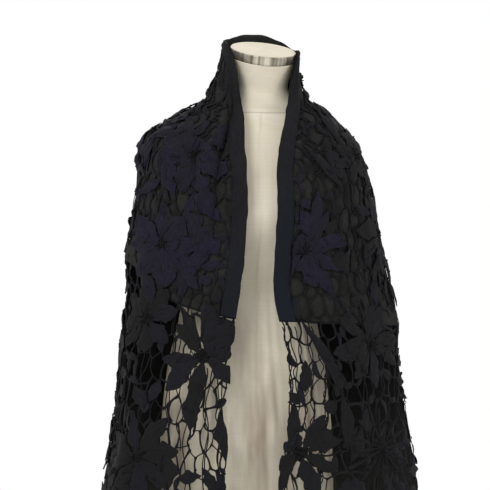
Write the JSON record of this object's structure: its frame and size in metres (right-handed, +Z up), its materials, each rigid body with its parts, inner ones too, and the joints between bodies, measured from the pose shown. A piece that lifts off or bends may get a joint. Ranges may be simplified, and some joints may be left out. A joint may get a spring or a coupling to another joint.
{
  "type": "lace shawl on a dress form",
  "caption": "Open lace shawl with a chiffon lining and a chiffon neck band, draped over the shoulders of a limbless dress form on a pole and a round base.",
  "frame": {"origin": "centre of the underside of the round base, where the stand meets the floor", "axes": "+Z up along the pole, the front of the form and the open side of the shawl towards -Y, +X to the right as seen from the front"},
  "size_m": [0.5799, 0.3578, 1.5223],
  "materials": {
    "linen": "matte woven linen",
    "steel": "brushed",
    "chiffon": "matte charcoal chiffon",
    "band_chiffon": "matte dark blue chiffon",
    "lace": "blue-black lace"
  },
  "bodies": {
    "root": {"stand_base": "steel", "stand_pole": "steel", "form_torso": "linen", "form_neck_ring": "steel", "form_neck_cap": "linen", "lining_left": "chiffon", "lining_back": "chiffon", "lining_right": "chiffon", "band_left": "band_chiffon", "band_back": "band_chiffon", "band_right": "band_chiffon", "lace_yoke": "lace", "lace_end_left": "lace", "lace_end_right": "lace"}
  },
  "joints": []
}
